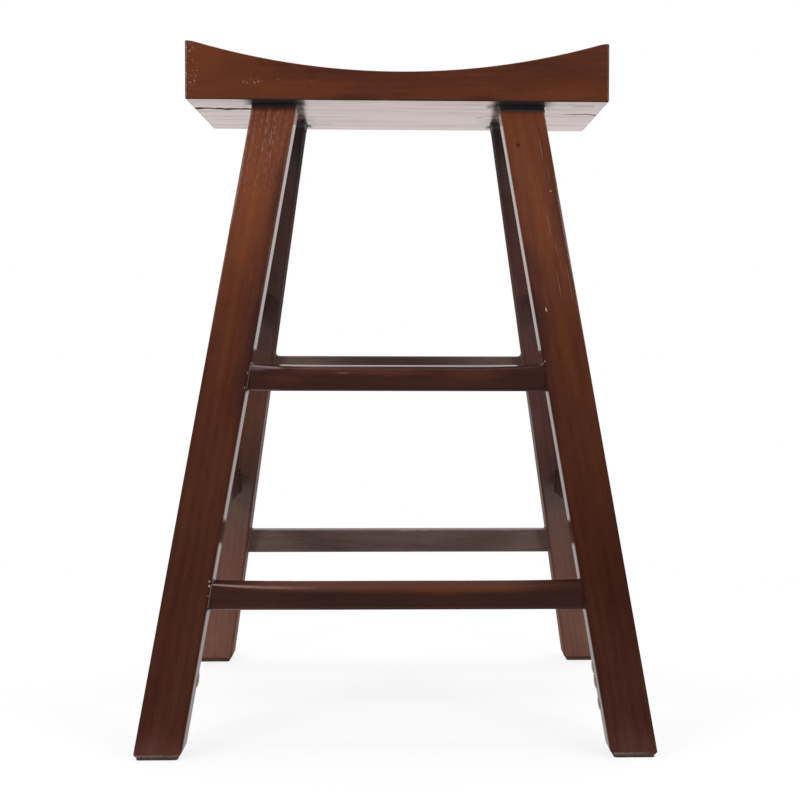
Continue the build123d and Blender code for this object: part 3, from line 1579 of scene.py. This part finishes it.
@dataclass
class Studio:
    """A white floor that fades into a white room, soft lamps and the camera.

    Attributes:
        eye: Where the camera stands.
        turn: How far it is turned to the right, in radians.
        pitch: How far it looks up.
        roll: How far it is tipped.
        lens: Its focal length in millimetres.
        sensor: Its sensor's width in millimetres.
        shift: How far the frame is shifted.
        floor_reach: Half the floor's width.
        floor_cells: How many cells the floor has each way.
        paper: How white the paper is.
        paper_edge: Where the paper starts, along Y.
        beyond: The share of the paper's white that the floor ahead of it has.
        shadow_fade: Where the shadow round the feet ends, and how white the eye sees the floor.
        white: The level that gloss mirrors from what is lit.
        dim: The level that it mirrors from what is not.
        mirror: The tint of what gloss mirrors.
        far_wall: Where the mirrored wall goes from dim to lit, as a share of straight back.
        soft_wall: The same for the room's soft light, with its levels ahead and behind.
    """

    eye: tuple[float, float, float] = (7.5 * MM, -1849 * MM, 433.8 * MM)
    turn: float = 0.0346
    pitch: float = -0.0455
    roll: float = 0.0029
    lens: float = 72.0
    sensor: float = 36.0
    shift: float = -0.075
    floor_reach: float = 6.0
    floor_cells: int = 8
    paper: float = 0.85
    paper_edge: Step = (-0.75, -0.45)
    beyond: float = 0.2
    shadow_fade: Step = (0.5, 1.3, 0.82, 1.0)
    white: float = 1.0
    dim: float = 0.08
    mirror: Colour = (1.0, 0.972, 0.955)
    far_wall: Step = (0.35, 0.85)
    soft_wall: Step = (-0.5, 0.5, 0.3, 0.95)

    def build(self) -> None:
        """Sets up the floor, the room, the lamps and the camera."""
        self._floor()
        self._room()
        for lamp in LAMPS:
            lamp.build()
        self._camera()
        bpy.context.scene.view_settings.view_transform = "Standard"
        LOG.info("studio set up")

    def _rays(self, bench: Bench) -> tuple[Socket, Socket, Socket]:
        """Tells the rays apart.

        Args:
            bench: The tree.

        Returns:
            The camera's rays and those that bounce off gloss or pass through glass, each as 0 or 1, and
            the tint that each kind sees.
        """
        path = bench.add("ShaderNodeLightPath")
        bounced = bench.most(path.outputs["Is Glossy Ray"], path.outputs["Is Transmission Ray"])
        return path.outputs["Is Camera Ray"], bounced, bench.blend(bounced, PLAIN_WHITE, self.mirror)

    def _floor(self) -> None:
        """White paper that starts just ahead of the stool. The eye sees it white, with a soft shadow."""
        cells = self.floor_cells
        shape = bmesh.new()
        bmesh.ops.create_grid(shape, x_segments=cells, y_segments=cells, size=self.floor_reach)
        floor = mesh_object("floor", shape)

        made, bench = new_material("floor_paper")
        seen, bounced, tint = self._rays(bench)
        point = bench.add("ShaderNodeTexCoord").outputs["Object"]
        laid = bench.band(bench.split(point)[1], *self.paper_edge)
        lit = bench.math("MULTIPLY_ADD", laid, 1 - self.beyond, self.beyond)
        albedo = bench.times(bench.most(seen, lit), self.paper)
        mirrored = bench.math("MULTIPLY_ADD", laid, self.white - self.dim, self.dim)
        paper = bench.shader("ShaderNodeBsdfDiffuse", {"Color": bench.join(albedo, albedo, albedo)})
        glow = bench.shader("ShaderNodeEmission", {"Color": tint, "Strength": bench.most(seen, mirrored)})
        far = bench.band(bench.length(point), *self.shadow_fade)
        share = bench.most(bench.times(seen, far), bounced)
        bench.end(bench.shader("ShaderNodeMixShader", {0: share, 1: paper, 2: glow}))
        dress(floor, made)

    def _room(self) -> None:
        """A white room to the eye, whose far wall is lit and whose near side is dim."""
        world = bpy.data.worlds.new("room")
        bpy.context.scene.world = world
        world.use_nodes = True
        bench = Bench(world.node_tree)
        seen, bounced, tint = self._rays(bench)
        back = bench.split(bench.add("ShaderNodeTexCoord").outputs["Generated"])[1]
        mirrored = bench.band(back, *self.far_wall, self.dim, self.white)
        soft = bench.band(back, *self.soft_wall)
        swing = bench.times(bounced, bench.math("SUBTRACT", mirrored, soft))
        level = bench.most(bench.math("ADD", soft, swing), seen)
        room = bench.shader("ShaderNodeBackground", {"Color": tint, "Strength": level})
        bench.end(room, "ShaderNodeOutputWorld")

    def _camera(self) -> None:
        """Stands the camera where the photograph was taken from."""
        data = bpy.data.cameras.new("camera")
        data.lens = self.lens
        data.sensor_width = self.sensor
        data.shift_x = self.shift
        camera = new_object("camera", data)
        forward = Vector((
            math.sin(self.turn) * math.cos(self.pitch),
            math.cos(self.turn) * math.cos(self.pitch),
            math.sin(self.pitch),
        ))
        level_right = forward.cross(Vector(AXES[2])).normalized()
        level_up = level_right.cross(forward)
        right = math.cos(self.roll) * level_right + math.sin(self.roll) * level_up
        up = right.cross(forward)
        aim = Matrix((right, up, -forward)).transposed().to_4x4()
        camera.matrix_world = Matrix.Translation(self.eye) @ aim
        bpy.context.scene.camera = camera


@dataclass(frozen=True)
class Side:
    """A side of a piece that marks are placed on. Its lengths and theirs are in millimetres.

    Attributes:
        flat: The measure that is the same all over it: 0 for across the piece and 1 for through it.
        level: Where the side lies along that measure.
        cloud_depth: How deep a cloud on it reaches.
        spot_depth: How deep any other mark on it reaches.
    """

    flat: int
    level: float
    cloud_depth: float
    spot_depth: float = 4.0

    def _lengths(self, middle: float, over: float, along: float) -> tuple[float, float, float]:
        """Lengths in metres across, through and along the piece, of which one lies on the flat measure."""
        lengths = (middle, over, along) if self.flat == 0 else (over, middle, along)
        return tuple(length * MM for length in lengths)

    def cloud(self, over: float, along: float, size: tuple[float, float], tone: Colour, strength: float,
              depth: float | None = None) -> Mark:
        """A soft patch of another tone.

        Args:
            over: Its middle, from side to side.
            along: Its middle, along the piece.
            size: Its half lengths from side to side and along.
            tone: Its colour.
            strength: How much of the colour below it hides.
            depth: How deep it reaches, or None for as deep as other clouds here.

        Returns:
            The mark.
        """
        reach = self._lengths(depth or self.cloud_depth, *size)
        return Mark(Blemish.CLOUD, self._lengths(self.level, over, along), reach, strength, tone)

    def spot(self, kind: Blemish, over: float, along: float, size: tuple[float, float],
             strength: float) -> Mark:
        """A small mark, placed as a cloud is."""
        reach = self._lengths(self.spot_depth, *size)
        return Mark(kind, self._lengths(self.level, over, along), reach, strength)


LEG_FRONT = Side(flat=1, level=-23.75, cloud_depth=20)
SEAT_FRONT = Side(flat=0, level=0, cloud_depth=60)
SEAT_BELOW = Side(flat=1, level=0, cloud_depth=6)
TREAD_FRONT = Side(flat=0, level=-12, cloud_depth=9)

# The colour of the painted shade along the front legs' edges
SHADE_PLUM = srgb(50, 29, 30)
AMBER = srgb(130, 71, 38)
EMBER = srgb(120, 60, 26)
ASH = srgb(100, 68, 62)
SHADOW = srgb(58, 44, 44)

# The marks on the front legs, placed to the right of the leg's middle line and above the floor
LEFT_LEG_MARKS = (
    LEG_FRONT.cloud(-4, 585, (13, 85), AMBER, 0.45),
    LEG_FRONT.cloud(-6, 430, (10, 60), srgb(104, 56, 32), 0.4),
    # Painted shade along the inner edge
    LEG_FRONT.cloud(24, 590, (14, 90), SHADE_PLUM, 0.6),
    LEG_FRONT.cloud(26, 455, (25, 120), SHADE_PLUM, 0.8),
    LEG_FRONT.cloud(24, 365, (13, 50), SHADE_PLUM, 0.7),
    LEG_FRONT.cloud(0, -4, (60, 40), ASH, 0.4),
    # A pale streak down the outer eased edge near the top: painted highlight
    LEG_FRONT.spot(Blemish.SMEAR, -22.9, 607, (2.0, 56), 0.85),
    LEG_FRONT.spot(Blemish.CHIP, 23, 401, (0.8, 1.4), 0.5),
    LEG_FRONT.spot(Blemish.CHIP, 22.5, 385, (0.7, 1.2), 0.5),
    LEG_FRONT.spot(Blemish.CHIP, 21.7, 181, (0.9, 1.3), 0.6),
    LEG_FRONT.spot(Blemish.CHIP, 22.5, 176, (1.1, 1.4), 0.7),
    LEG_FRONT.spot(Blemish.CHIP, 22.8, 166, (0.7, 1.0), 0.5),
)
RIGHT_LEG_MARKS = (
    LEG_FRONT.cloud(-1, 600, (13, 90), AMBER, 0.3),
    LEG_FRONT.cloud(3, 430, (11, 70), srgb(108, 58, 30), 0.35),
    # Painted shade along both edges
    LEG_FRONT.cloud(-25, 470, (24, 130), SHADE_PLUM, 0.8),
    LEG_FRONT.cloud(-24, 350, (12, 70), SHADE_PLUM, 0.6),
    LEG_FRONT.cloud(23, 560, (12, 110), SHADE_PLUM, 0.55),
    LEG_FRONT.cloud(6, 4, (50, 40), ASH, 0.25),
    # A pale streak down the outer eased edge near the top: painted highlight
    LEG_FRONT.spot(Blemish.SMEAR, 22.9, 560, (2.0, 75), 0.75),
    LEG_FRONT.spot(Blemish.KNOT, -11.3, 656, (2.8, 3.0), 0.7),
    LEG_FRONT.spot(Blemish.CHIP, -11.7, 471, (0.9, 2.6), 0.8),
    LEG_FRONT.spot(Blemish.CHIP, -22.6, 414, (0.7, 1.2), 0.6),
    LEG_FRONT.spot(Blemish.CHIP, 15.3, 604, (0.8, 1.0), 0.7),
    LEG_FRONT.spot(Blemish.SMEAR, 13.0, 652, (0.6, 14), 0.7),
    LEG_FRONT.spot(Blemish.SMEAR, 16.5, 625, (0.5, 12), 0.5),
    LEG_FRONT.spot(Blemish.SMEAR, 7.0, 565, (0.5, 18), 0.6),
    LEG_FRONT.spot(Blemish.SMEAR, 10.5, 540, (0.4, 12), 0.5),
    LEG_FRONT.spot(Blemish.SMEAR, 6.7, 500, (0.5, 20), 0.5),
    LEG_FRONT.spot(Blemish.SMEAR, 18.5, 500, (0.5, 24), 0.5),
)
# The marks on the seat, placed above its underside or behind its front, and to the right of its left end
SEAT_MARKS = (
    SEAT_FRONT.cloud(36, 26, (62, 90), srgb(112, 56, 28), 0.7),
    SEAT_FRONT.cloud(8, 130, (20, 80), EMBER, 0.3),
    SEAT_FRONT.cloud(8, 410, (22, 80), EMBER, 0.35),
    SEAT_FRONT.cloud(6, 265, (16, 90), srgb(106, 52, 26), 0.25),
    # A dark line down the front-left edge: painted shade
    SEAT_FRONT.cloud(30, 0.4, (60, 2.6), srgb(44, 26, 34), 0.9, depth=10),
    SEAT_FRONT.cloud(34, 190, (10, 95), srgb(60, 29, 25), 0.55),
    SEAT_FRONT.cloud(40, 350, (11, 75), srgb(62, 30, 25), 0.45),
    SEAT_FRONT.cloud(52, 425, (16, 45), srgb(74, 36, 27), 0.4),
    SEAT_FRONT.cloud(3, 180, (5, 40), srgb(56, 27, 26), 0.6),
    SEAT_FRONT.cloud(3, 313, (5, 34), srgb(56, 27, 26), 0.5),
    SEAT_FRONT.spot(Blemish.SCUFF, 29, 6.5, (19, 8), 0.5),
    SEAT_FRONT.spot(Blemish.SCUFF, 55, 5, (7, 8), 0.5),
    SEAT_FRONT.spot(Blemish.SCUFF, 19.5, 70, (3.4, 14), 0.6),
    SEAT_FRONT.spot(Blemish.SMEAR, 21.7, 98.5, (0.7, 1.4), 0.6),
    SEAT_FRONT.spot(Blemish.SMEAR, 19.9, 134.5, (0.6, 1.6), 0.4),
    # A dark line along the lower front edge: painted shade
    SEAT_FRONT.cloud(-0.5, 226, (3, 400), srgb(44, 32, 28), 0.85, depth=9),
    # Painted shade and painted reflection of the leg tops, on the underside in front of the front legs
    SEAT_BELOW.spot(Blemish.SOOT, 10, 93, (42, 38), 1.0),
    SEAT_BELOW.spot(Blemish.SOOT, 10, 359, (42, 38), 1.0),
    SEAT_BELOW.spot(Blemish.SOOT, 42, 329, (20, 7), 0.6),
    SEAT_BELOW.spot(Blemish.SOOT, 36, 428, (9, 14), 0.3),
    SEAT_BELOW.spot(Blemish.SOOT, 22, 121, (18, 6), 0.7),
    SEAT_BELOW.cloud(70, 337, (46, 14), SHADOW, 0.7),
    SEAT_BELOW.cloud(70, 116, (46, 12), SHADOW, 0.7),
    SEAT_BELOW.cloud(24, 418, (26, 40), SHADOW, 0.3),
)
REAR_SEAT_MARKS = (
    SEAT_BELOW.cloud(170, 336, (100, 19), SHADOW, 0.95),
    SEAT_BELOW.cloud(170, 115, (100, 15), SHADOW, 0.95),
    # Partly painted shade round the tops of the rear legs, on the underside
    SEAT_BELOW.spot(Blemish.SOOT, 206, 133, (2.5, 16), 0.5),
    SEAT_BELOW.spot(Blemish.SOOT, 137, 319, (9, 4), 0.4),
    SEAT_BELOW.spot(Blemish.SOOT, 224, 117, (18, 5), 0.8),
    SEAT_BELOW.spot(Blemish.SOOT, 224, 335, (18, 5), 0.7),
)

LEG_BROWN = StainedWood(
    deep=srgb(98, 51, 34),
    middle=srgb(118, 66, 45),
    bright=srgb(136, 79, 52),
    fibre_strength=0.35,
    coat=((0.04, 0.44), (0.18, 0.5), (0.38, 0.54), (0.52, 0.68)),
    coat_on_edges=0.0,
    thin_side=(-17 * MM, -9 * MM),
    # The pale edges are painted highlights near the top and a painted reflection on the chamfer at the
    # foot
    wear_and_highlight=0.9,
    wear_and_highlight_run=((0.0, 1.0), (0.006, 1.0), (0.009, 0.0), (0.42, 0.0), (0.55, 1.0)),
    marks=LEFT_LEG_MARKS,
    wear_and_highlight_gaps=(0.3, 0.5),
    fleck_strength=0.65,
    fleck_span=(0.56, 0.67),
    fleck_side=(10 * MM, 22 * MM),
    # The tints paint shade, darker towards the floor
    tints=((0.04, (0.28, 0.29, 0.38)), (0.21, (0.37, 0.4, 0.46)), (0.32, (0.4, 0.395, 0.44)),
           (0.43, (0.45, 0.42, 0.43)), (0.48, (0.56, 0.52, 0.53)), (0.54, (0.62, 0.59, 0.6)),
           (0.61, (0.9, 0.86, 0.86)), (0.66, (1.06, 1.02, 1.0))),
)
RIGHT_LEG_BROWN = replace(
    LEG_BROWN,
    marks=RIGHT_LEG_MARKS,
    # The painted highlights on the edges stay off the inner edge
    wear_and_highlight_side=(-21.5 * MM, -20 * MM),
    fleck_strength=0.0,
    # The tints paint shade, darker towards the floor
    tints=((0.04, (0.31, 0.36, 0.5)), (0.21, (0.27, 0.26, 0.28)), (0.32, (0.335, 0.315, 0.33)),
           (0.43, (0.44, 0.43, 0.45)), (0.54, (0.8, 0.82, 0.88)), (0.61, (0.77, 0.8, 0.88)),
           (0.67, (0.95, 0.92, 0.86))),
)
REAR_LEG_BROWN = StainedWood(
    deep=srgb(92, 55, 43),
    middle=srgb(108, 68, 54),
    bright=srgb(122, 78, 62),
    # The tints paint the seat's shade, darker towards the top, and a grey sheen lower down
    tints=((0.03, (1.0, 1.06, 1.12)), (0.15, (0.74, 0.74, 0.8)), (0.22, (0.52, 0.58, 0.64)),
           (0.3, (0.48, 0.54, 0.6)), (0.35, (0.6, 0.6, 0.62)), (0.4, (0.48, 0.58, 0.72)),
           (0.46, (0.38, 0.62, 0.9)), (0.54, (0.37, 0.5, 0.66)), (0.61, (0.31, 0.42, 0.64)),
           (0.67, (0.36, 0.72, 1.1))),
    coat=((0.03, 0.35), (0.15, 0.46), (0.21, 0.68), (0.34, 0.64), (0.42, 0.1)),
    coat_on_edges=0.1,
    thin_side=(30 * MM, 31 * MM),
    wear_and_highlight_run=NOWHERE,
)
RIGHT_REAR_LEG_BROWN = replace(
    REAR_LEG_BROWN,
    # The tints paint the seat's shade, darker towards the top, and a grey sheen lower down
    tints=((0.03, (0.92, 0.98, 1.06)), (0.15, (0.63, 0.64, 0.72)), (0.22, (0.56, 0.64, 0.72)),
           (0.3, (0.52, 0.57, 0.7)), (0.35, (0.57, 0.65, 0.85)), (0.4, (0.6, 0.66, 0.87)),
           (0.46, (0.53, 0.74, 1.08)), (0.53, (0.56, 0.61, 0.81)), (0.61, (0.37, 0.48, 0.7)),
           (0.67, (0.44, 0.82, 1.2))),
)
SEAT_BROWN = StainedWood(
    deep=srgb(74, 36, 23),
    middle=srgb(90, 46, 29),
    bright=srgb(110, 57, 31),
    speckle_strength=0.35,
    glue=GlueLine(place=-41 * MM),
    coat_roughness=0.18,
    coat_on_edges=0.15,
    pore_strength=0.15,
    # The pale underside is partly dust and partly painted reflection
    underside=srgb(186, 157, 153),
    wear_and_highlight_run=NOWHERE,
    marks=SEAT_MARKS,
)
SEAT_BOARDS = (
    Board("seat_front_board", SEAT_BROWN, pith=(74 * MM, -44 * MM), seed=11.3),
    Board("seat_rear_board", replace(SEAT_BROWN, marks=REAR_SEAT_MARKS),
          pith=(163 * MM, -79 * MM), seed=17.9),
)
SIDE_RAIL_BROWN = StainedWood(
    deep=srgb(50, 29, 24),
    middle=srgb(62, 36, 30),
    bright=srgb(76, 43, 34),
    coat=((0.0, 0.35),),
)
UPPER_TREAD_BROWN = replace(
    SIDE_RAIL_BROWN,
    coat=((0.0, 0.7),),
    # The pale edge at the left end is a painted highlight
    wear_and_highlight=2.2,
    wear_and_highlight_run=((0.02, 1.0), (0.05, 0.8), (0.06, 0.0)),
    wear_and_highlight_gaps=(0.2, 0.4),
    marks=(
        # Lilac clouds along the top edge towards the left end: painted highlight
        TREAD_FRONT.cloud(11, 34, (4, 24), srgb(112, 92, 96), 0.6),
        TREAD_FRONT.cloud(12, 105, (4, 75), srgb(122, 94, 90), 0.5),
        TREAD_FRONT.cloud(6, 150, (6, 110), srgb(92, 52, 42), 0.55),
        # Darker along the lower part of the face: painted shade
        TREAD_FRONT.cloud(-11, 250, (6, 230), srgb(50, 33, 33), 0.5),
        TREAD_FRONT.cloud(-2, 60, (7, 35), srgb(86, 44, 34), 0.4),
        TREAD_FRONT.cloud(3, 260, (8, 60), srgb(90, 50, 36), 0.4),
        TREAD_FRONT.spot(Blemish.SMEAR, 5, 122, (0.6, 8), 0.5),
    ),
)
LOWER_TREAD_BROWN = replace(
    SIDE_RAIL_BROWN,
    deep=srgb(43, 26, 22),
    middle=srgb(54, 32, 27),
    bright=srgb(67, 39, 31),
    coat=((0.0, 0.6),),
    tread=srgb(98, 62, 50),
    tread_run=((0.023, 0.0), (0.05, 0.15), (0.075, 0.6), (0.13, 0.8), (0.2, 0.65), (0.33, 0.6),
               (0.39, 0.1)),
    # The pale line along the front top edge at the left end is a painted highlight
    wear_and_highlight=2.2,
    wear_and_highlight_run=((0.02, 1.0), (0.09, 1.0), (0.14, 0.0)),
    wear_and_highlight_gaps=(0.1, 0.3),
    marks=(TREAD_FRONT.cloud(8, 280, (8, 150), srgb(94, 52, 30), 0.5),),
)
# The rear rails are painted paler and greyer than the side rails, standing in for the light and sheen on
# them
REAR_RAIL_BROWN = replace(
    SIDE_RAIL_BROWN,
    deep=srgb(84, 67, 63),
    middle=srgb(98, 80, 76),
    bright=srgb(108, 88, 84),
)
FACE_RAILS = {
    Face.FRONT: {Tier.LOWER: LOWER_TREAD_BROWN, Tier.UPPER: UPPER_TREAD_BROWN},
    Face.REAR: {Tier.LOWER: REAR_RAIL_BROWN, Tier.UPPER: REAR_RAIL_BROWN},
    Face.LEFT: {Tier.LOWER: SIDE_RAIL_BROWN, Tier.UPPER: SIDE_RAIL_BROWN},
    Face.RIGHT: {Tier.LOWER: SIDE_RAIL_BROWN, Tier.UPPER: SIDE_RAIL_BROWN},
}
CORNER_LEGS = {
    Corner.FRONT_LEFT: LEG_BROWN,
    Corner.FRONT_RIGHT: RIGHT_LEG_BROWN,
    Corner.REAR_LEFT: REAR_LEG_BROWN,
    Corner.REAR_RIGHT: RIGHT_REAR_LEG_BROWN,
}
# The first piece's seed and what each next one adds to it
LEG_SEED, LEG_SEED_STEP = 1.7, 3.1
RAIL_SEED, RAIL_SEED_STEP = 21.3, 2.3
# How far the dark collars reach down the front legs, and how far the gathered lacquer reaches over the
# rear rails
COLLAR_HEIGHTS = {Corner.FRONT_LEFT: 4.5 * MM, Corner.FRONT_RIGHT: 7.0 * MM}
REAR_FILLETS = {Tier.LOWER: 2.5 * MM, Tier.UPPER: 5.5 * MM}
# The runs on each leg, each with its height above the floor and its share of the full size
RUN_DROPS = {
    Corner.FRONT_LEFT: ((0.069, 0.9),),
    Corner.FRONT_RIGHT: ((0.080, 0.8), (0.066, 0.9), (0.044, 0.8)),
}
DARK_COLLAR = DriedLacquer(colour=srgb(62, 54, 57), shade=srgb(80, 70, 73), coat=0.06)
# Its pale colour paints the light and white reflection that the runs catch on the leg's pale side
RUN_LACQUER = DriedLacquer(colour=srgb(196, 172, 168), shade=srgb(160, 134, 130), coat=0.3)


def main() -> None:
    """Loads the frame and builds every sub-assembly in order."""
    logging.basicConfig(level=logging.INFO, format="%(message)s")
    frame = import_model()

    plan = LegLine()
    Seat(SEAT_BOARDS).build(frame)
    dark_collar = DARK_COLLAR.material("dark_collar_band")
    for number, (corner, finish) in enumerate(CORNER_LEGS.items()):
        seed = LEG_SEED + LEG_SEED_STEP * number
        collar_height = COLLAR_HEIGHTS.get(corner, Leg.collar_height)
        Leg(corner, plan, finish, seed, collar_height).build(frame, dark_collar)
    for number, (face, tier) in enumerate(product(Face, Tier)):
        seed = RAIL_SEED + RAIL_SEED_STEP * number
        above = REAR_FILLETS[tier] if face is Face.REAR else Rail.above
        Rail(face, tier, plan, FACE_RAILS[face][tier], seed, above).build(frame)
    runny = RUN_LACQUER.material("run_lacquer")
    for corner, drops in RUN_DROPS.items():
        Runs(corner, plan, drops).build(runny)
    FootPads().build(frame)
    Studio().build()


if __name__ == "__main__":
    main()
